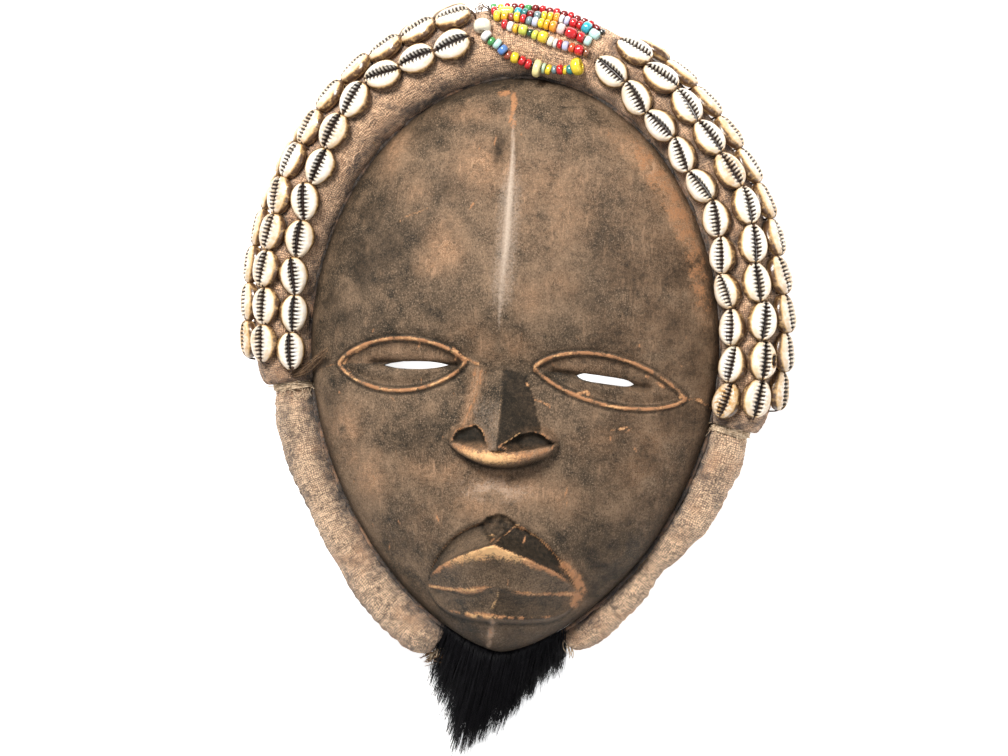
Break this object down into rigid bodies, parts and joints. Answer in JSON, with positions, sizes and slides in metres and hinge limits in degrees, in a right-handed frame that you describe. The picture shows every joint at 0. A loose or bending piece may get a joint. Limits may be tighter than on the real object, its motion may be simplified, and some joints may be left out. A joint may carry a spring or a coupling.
{
  "type": "tribal face mask",
  "caption": "Hollow carved wooden face mask ringed by stuffed cloth rolls sewn with cowrie shells and glass bead strings, with a hair beard; worn or hung, lies on its rim.",
  "frame": {"origin": "on the floor under the middle of the whole mask, which lies on its back", "axes": "+X towards the viewer's right as the face is seen, +Y towards the crown, +Z out of the face"},
  "size_m": [0.2766, 0.375, 0.0713],
  "materials": {
    "carved_wood": "dark stained and smoke-blackened, rubbed reddish brown, worn to pale wood on nose rim and lips",
    "stuffed_cloth": "coarse hand-woven cotton, unbleached, dusty and soiled, matte",
    "twine": "dark twisted plant fibre, matte",
    "cowrie_shell": "glossy white porcelain-like shell, cream to brown at edges and slit",
    "glass_beads": "opaque glossy trade glass in mixed colours",
    "black_hair": "coarse black hair, slight sheen"
  },
  "bodies": {
    "root": {"bead_string_1": "glass_beads", "bead_string_2": "glass_beads", "bead_string_3": "glass_beads", "bead_string_4": "glass_beads", "bead_string_5": "glass_beads", "beard": "black_hair", "cheek_roll_left": "stuffed_cloth", "cheek_roll_right": "stuffed_cloth", "cowrie_left_inner_01": "cowrie_shell", "cowrie_left_inner_02": "cowrie_shell", "cowrie_left_inner_03": "cowrie_shell", "cowrie_left_inner_04": "cowrie_shell", "cowrie_left_inner_05": "cowrie_shell", "cowrie_left_inner_06": "cowrie_shell", "cowrie_left_inner_07": "cowrie_shell", "cowrie_left_inner_08": "cowrie_shell", "cowrie_left_inner_09": "cowrie_shell", "cowrie_left_inner_10": "cowrie_shell", "cowrie_left_inner_11": "cowrie_shell", "cowrie_left_middle_01": "cowrie_shell", "cowrie_left_middle_02": "cowrie_shell", "cowrie_left_middle_03": "cowrie_shell", "cowrie_left_middle_04": "cowrie_shell", "cowrie_left_middle_05": "cowrie_shell", "cowrie_left_middle_06": "cowrie_shell", "cowrie_left_middle_07": "cowrie_shell", "cowrie_left_middle_08": "cowrie_shell", "cowrie_left_middle_09": "cowrie_shell", "cowrie_left_middle_10": "cowrie_shell", "cowrie_left_middle_11": "cowrie_shell", "cowrie_left_middle_12": "cowrie_shell", "cowrie_right_inner_01": "cowrie_shell", "cowrie_right_inner_02": "cowrie_shell", "cowrie_right_inner_03": "cowrie_shell", "cowrie_right_inner_04": "cowrie_shell", "cowrie_right_inner_05": "cowrie_shell", "cowrie_right_inner_06": "cowrie_shell", "cowrie_right_inner_07": "cowrie_shell", "cowrie_right_inner_08": "cowrie_shell", "cowrie_right_inner_09": "cowrie_shell", "cowrie_right_inner_10": "cowrie_shell", "cowrie_right_inner_11": "cowrie_shell", "cowrie_right_middle_01": "cowrie_shell", "cowrie_right_middle_02": "cowrie_shell", "cowrie_right_middle_03": "cowrie_shell", "cowrie_right_middle_04": "cowrie_shell", "cowrie_right_middle_05": "cowrie_shell", "cowrie_right_middle_06": "cowrie_shell", "cowrie_right_middle_07": "cowrie_shell", "cowrie_right_middle_08": "cowrie_shell", "cowrie_right_middle_09": "cowrie_shell", "cowrie_right_middle_10": "cowrie_shell", "cowrie_right_middle_11": "cowrie_shell", "cowrie_row_left_outer": "cowrie_shell", "cowrie_row_right_outer": "cowrie_shell", "head_roll": "stuffed_cloth", "temple_tie_left": "twine", "temple_tie_right": "twine", "wood_face": "carved_wood"}
  },
  "joints": []
}
